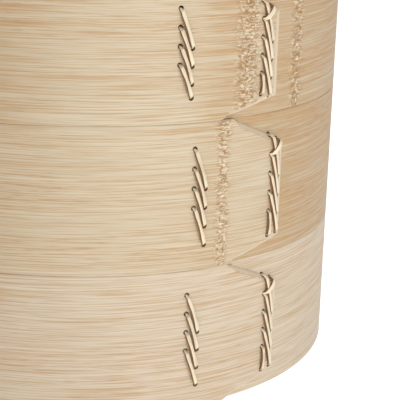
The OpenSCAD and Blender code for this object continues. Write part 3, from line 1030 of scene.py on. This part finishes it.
def bamboo(name, pale, streaks, fine, rough, scars=False):
    """Split bamboo: long fibres, darker bundles, slow colour drift and rough node scars."""
    m = Nodes(name)
    grain = m.attribute("grain")
    wander = m.noise(m.stretched(grain, 11, 40, 1.7), detail=1.0)
    bend = m.add("ShaderNodeVectorMath", operation="SCALE")
    bend.inputs[0].default_value = (0.0, 1.0, 1.0)
    m.link(m.math("MULTIPLY", m.math("SUBTRACT", wander, 0.5), 0.0018), bend.inputs["Scale"])
    moved = m.add("ShaderNodeVectorMath", operation="ADD")
    m.link(grain, moved.inputs[0])
    m.link(bend.outputs[0], moved.inputs[1])
    grain = moved.outputs[0]

    broad = m.noise(m.stretched(grain, 6, 60, 3.1), detail=2.0)
    patch = m.noise(m.stretched(grain, 16, 110, 6.7), detail=1.0)
    bundles = m.noise(m.stretched(grain, 22, 2100, 5.3), detail=1.5, rough=0.6)
    fibres = m.noise(m.stretched(grain, 45, 3600, 9.9), detail=1.0, rough=0.6)
    dashes = m.noise(m.stretched(grain, 120, 2400, 14.2), detail=1.0)
    # This attribute browns the wood in some stretches and paints shade on the wall's left side,
    # where the light falls off.
    tone_and_shade = m.attribute("tone_and_shade", "Fac")
    bold = m.math("MULTIPLY", m.ramp(patch, 0.3, 0.7), 0.5)
    bold = m.math("ADD", tone_and_shade, m.math("ADD", bold, 0.35))

    colour = m.mix(m.ramp(broad, 0.30, 0.75), pale, blend(pale, TAN, 0.2))
    colour = m.mix(m.math("MULTIPLY", tone_and_shade, 0.7), colour, lit(TAN, 0.8))
    line = m.math("MULTIPLY", m.ramp(bundles, 0.50, 0.63), bold)
    colour = m.mix(m.math("MULTIPLY", line, streaks, clamp=True), colour, lit(TAN, 0.92))
    colour = m.mix(m.math("MULTIPLY", m.ramp(fibres, 0.52, 0.62), fine), colour, lit(TAN, 0.85))
    dash = m.math("MULTIPLY", m.ramp(dashes, 0.57, 0.70), m.ramp(broad, 0.35, 0.60))
    dash = m.math("MULTIPLY", dash, bold)
    colour = m.mix(m.math("MULTIPLY", dash, 0.55 * streaks, clamp=True), colour, AMBER)
    colour = m.mix(m.math("MULTIPLY", m.ramp(bundles, 0.46, 0.32), 0.5), colour, lit(pale, 1.1))
    deep = m.math("MULTIPLY", m.ramp(bundles, 0.50, 0.64), tone_and_shade)
    colour = m.mix(m.math("MULTIPLY", deep, 0.8), colour, blend(TAN, AMBER, 0.45))
    height = m.math("ADD", m.math("MULTIPLY", bundles, 0.6), m.math("MULTIPLY", fibres, 0.4))
    rise = None
    if scars:
        colour, rise = node_scars(m, grain, colour, pale)
    # Pale cut wood, partly painted light on faces the lamps barely reach.
    cut = m.attribute("shade", "Fac")
    colour = m.mix(m.math("MULTIPLY", cut, 0.8), colour, CUT_AND_PAINTED_LIGHT)
    m.link(colour, m.shader.inputs["Base Color"])
    m.link(m.math("ADD", m.math("MULTIPLY", bundles, 0.25), rough), m.shader.inputs["Roughness"])
    normal = m.bump(height, 0.12 * MM, 0.5)
    if rise:
        normal = m.bump(rise, 0.12 * MM, 1.0, normal)
    m.link(normal, m.shader.inputs["Normal"])
    m.shader.inputs["Specular IOR Level"].default_value = 0.3
    return m.material


def rattan(name):
    """Skin-side rattan: pale, glossy, faintly striped, with brown cut sides darkened further as
    painted shade.
    """
    m = Nodes(name)
    grain = m.attribute("grain")
    stripes = m.noise(m.stretched(grain, 60, 1800, 4.4), detail=2.0)
    blotch = m.noise(m.stretched(grain, 120, 200, 8.8), detail=1.5)
    colour = m.mix(m.ramp(stripes, 0.45, 0.75), RATTAN, lit(RATTAN, 0.75))
    colour = m.mix(m.math("MULTIPLY", m.ramp(blotch, 0.55, 0.75), 0.3), colour, TAN)
    # Cut sides: real brown plus painted shade.
    colour = m.mix(m.attribute("shade", "Fac"), colour, RATTAN_SIDE_AND_SHADE)
    m.link(colour, m.shader.inputs["Base Color"])
    m.link(m.math("ADD", m.math("MULTIPLY", stripes, 0.25), 0.2), m.shader.inputs["Roughness"])
    m.link(m.bump(stripes, 0.06 * MM, 0.35), m.shader.inputs["Normal"])
    return m.material


# ---- Stage, lights and camera ----

CAMERA_ANGLES = (16.08, 5.44, 1.75)  # pitch down, turn to the right and roll, degrees
CAMERA_LENS = 114.96  # millimetres, on a sensor 36 wide
CAMERA_BACK = 5.012  # distance and height, in radii of the lower band
CAMERA_UP = 1.9455


def white(name, strength):
    m = Nodes(name)
    m.shader.inputs["Base Color"].default_value = (0.3, 0.3, 0.3, 1)
    m.shader.inputs["Roughness"].default_value = 0.8
    m.shader.inputs["Emission Color"].default_value = (1, 1, 1, 1)
    m.shader.inputs["Emission Strength"].default_value = strength
    return m.material


def stage_piece(name, verts, faces, material):
    mesh = bpy.data.meshes.new(name)
    mesh.from_pydata(verts, [], faces)
    mesh.materials.append(material)
    obj = link_object(name, mesh)
    return obj


def stage():
    """A pale floor, and far round it a white wall that only the camera sees."""
    far, sides = 8.0, 48
    rim = [far * toward(360 * i / sides) for i in range(sides)]
    stage_piece("floor", rim, [tuple(range(sides))], white("floor_white", 0.97))
    walls = [(i, (i + 1) % sides, sides + (i + 1) % sides, sides + i) for i in range(sides)]
    top = [point + np.array([0, 0, far]) for point in rim]
    wall = stage_piece("backdrop", rim + top, walls, white("backdrop_white", 1.0))
    wall.visible_diffuse = wall.visible_glossy = wall.visible_shadow = False
    world = bpy.data.worlds.new("studio")
    world.use_nodes = True
    background = world.node_tree.nodes["Background"].inputs
    background["Color"].default_value = (1, 1, 1, 1)
    background["Strength"].default_value = 0.14
    bpy.context.scene.world = world


def softbox(name, az, elevation, distance, size, power, aim):
    light = bpy.data.lights.new(name, "AREA")
    light.shape = "RECTANGLE"
    light.size, light.size_y = size
    light.energy = power
    obj = link_object(name, light)
    e = math.radians(elevation)
    out = Vector(toward(az)) * math.cos(e) + Vector((0, 0, math.sin(e)))
    obj.location = aim + out * distance
    obj.rotation_euler = (-out).to_track_quat("-Z", "Y").to_euler()
    obj.visible_camera = False


def lights(centre):
    softbox("key", 21, 0, 0.56, (0.28, 0.28), 1.36, centre)
    softbox("fill", 32, 50, 1.3, (0.8, 0.8), 4.5, centre)
    softbox("side", 85, 15, 1.4, (0.7, 0.7), 0.4, centre)
    softbox("back", 215, 30, 1.5, (1.0, 1.0), 6.0, centre)
    softbox("top", 200, 78, 1.4, (0.8, 0.8), 10.0, centre)


def camera(r):
    """Close three-quarter look down at the seams, from slightly above the lid's height."""
    pitch, yaw, roll = (math.radians(a) for a in CAMERA_ANGLES)
    flat = math.cos(pitch)
    forward = Vector((math.sin(yaw) * flat, math.cos(yaw) * flat, -math.sin(pitch)))
    right = Vector((math.cos(yaw), -math.sin(yaw), 0))
    up = right.cross(forward)
    tilted_right = math.cos(roll) * right + math.sin(roll) * up
    tilted_up = math.cos(roll) * up - math.sin(roll) * right
    data = bpy.data.cameras.new("camera")
    data.sensor_width = 36
    data.lens = CAMERA_LENS
    cam = link_object("camera", data)
    rotation = Matrix((tilted_right, tilted_up, -forward)).transposed()
    place = Vector((0, -CAMERA_BACK * r, CAMERA_UP * r))
    cam.matrix_world = Matrix.Translation(place) @ rotation.to_4x4()
    bpy.context.scene.camera = cam


# ---- Assembly ----


def tone_of(stretches):
    """Darker, browner stretches of a strip, partly browner wood and partly painted shade: start,
    its fade, end, its fade (degrees) and strength.
    """
    def tone_and_shade(az):
        strongest = 0.0
        for low, low_fade, high, high_fade, strength in stretches:
            inside = float(smooth((az - low) / low_fade + 0.5))
            inside *= float(smooth((high - az) / high_fade + 0.5))
            strongest = max(strongest, strength * inside)
        return strongest
    return tone_and_shade


def main():
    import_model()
    cad_low, cad_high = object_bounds()
    basket_lace = (43 * MM, 6.9 * MM, 14.2 * MM)
    lid_lace = (38.4 * MM, 6.2 * MM, 13.2 * MM)
    lower = Tier("lower", "lower_basket", "lower_outer_band", 22.2, 2.8, basket_lace)
    upper = Tier("upper", "upper_basket", "upper_outer_band", 21.4, 2.8, basket_lace)
    lid = Tier("lid", "lid", "lid_skirt", 22.2, 3.6, lid_lace)

    band_skins = {
        key: bamboo(key + "_band_bamboo", pale, 0.9, 0.6, 0.42, scars=True)
        for key, pale in (("lower", ROSY), ("upper", CREAM), ("lid", CREAM))
    }
    hoop_skin = bamboo("hoop_bamboo", CREAM, 0.7, 0.4, 0.5)
    slat_skin = bamboo("slat_bamboo", CREAM, 0.9, 0.5, 0.5)
    batten_skin = bamboo("batten_bamboo", (0.56, 0.42, 0.26), 0.9, 0.5, 0.55)
    peg_skin = bamboo("peg_bamboo", (0.46, 0.31, 0.17), 0.8, 0.6, 0.55)
    weave_skin = bamboo("weave_bamboo", (0.68, 0.56, 0.39), 0.75, 0.35, 0.4)
    rattan_skin = rattan("rattan_lacing")

    scars = {
        "lower": [(-95, 2.0, 0, lower.h), (-240, 2.2, 0, lower.h)],
        "upper": [(27.8, 1.7, 0, upper.h), (-150, 2.0, 0, upper.h)],
        "lid": [(32.9, 3.6, 0, lid.h), (-311.5, 2.6, 0, lid.h), (-140, 2.0, 0, lid.h)],
    }
    # The stretch from -190 to about -16 degrees is painted shade, darkening the wall's left side
    # where the light falls off; the others are browner wood past the tongue and beside the scars.
    tones = {
        "lower": tone_of([(-190, 60, -16, 40, 0.35)]),
        "upper": tone_of([
            (-345, 9, -240, 70, 0.95), (-190, 60, -16, 40, 0.7), (24, 9, 27, 9, 0.5),
        ]),
        "lid": tone_of([
            (-345, 9, -250, 60, 0.75), (-190, 60, -12, 26, 0.9), (24, 9, 32, 9, 0.7),
        ]),
    }
    for tier in (lower, upper, lid):
        outer_band(tier, band_skins[tier.prefix], scars[tier.prefix], tones[tier.prefix])
        start_lacing(tier, rattan_skin)
        end_lacing(tier, rattan_skin)
        hoop_pegs(tier, peg_skin)
    for tier in (lower, upper):
        inner_hoop(tier, tier.prefix + "_rim_hoop", FLOOR_Z + SLAT_T, tier.h + 5 * MM, hoop_skin)
        inner_hoop(tier, tier.prefix + "_base_hoop", 6.2 * MM, FLOOR_Z, hoop_skin)
        floor_slats(tier, slat_skin)
        cross_slats(tier, slat_skin)
        support_battens(tier, batten_skin)
        slat_lashings(tier, rattan_skin)
    inner_hoop(lid, "lid_hoop", 6.2 * MM, lid.h - 0.5 * MM, hoop_skin)
    weave_strips(lid, "lid_warp_strips", 1, weave_skin)
    weave_strips(lid, "lid_weft_strips", -1, weave_skin)
    clear = 0.95 * MM
    lid_ring(lid, "lid_lower_ring", [
        (RING_INNER_R, RING_BOTTOM_Z), (RING_OUTER_R, RING_BOTTOM_Z),
        (RING_OUTER_R, dome_z(RING_OUTER_R) - clear), (RING_INNER_R, dome_z(RING_INNER_R) - clear),
    ], hoop_skin)
    lid_ring(lid, "lid_upper_ring", [
        (RING_INNER_R, dome_z(RING_INNER_R) + clear), (RING_OUTER_R, dome_z(RING_OUTER_R) + clear),
        (RING_OUTER_R, RING_TOP_Z), (RING_INNER_R, RING_TOP_Z),
    ], hoop_skin)
    edge_lashings(lid, rattan_skin)

    stage()
    lights(Vector((0, 0, (cad_low.z + cad_high.z) / 2)))
    camera(lower.r)
    bpy.context.scene.view_settings.view_transform = "Standard"


main()
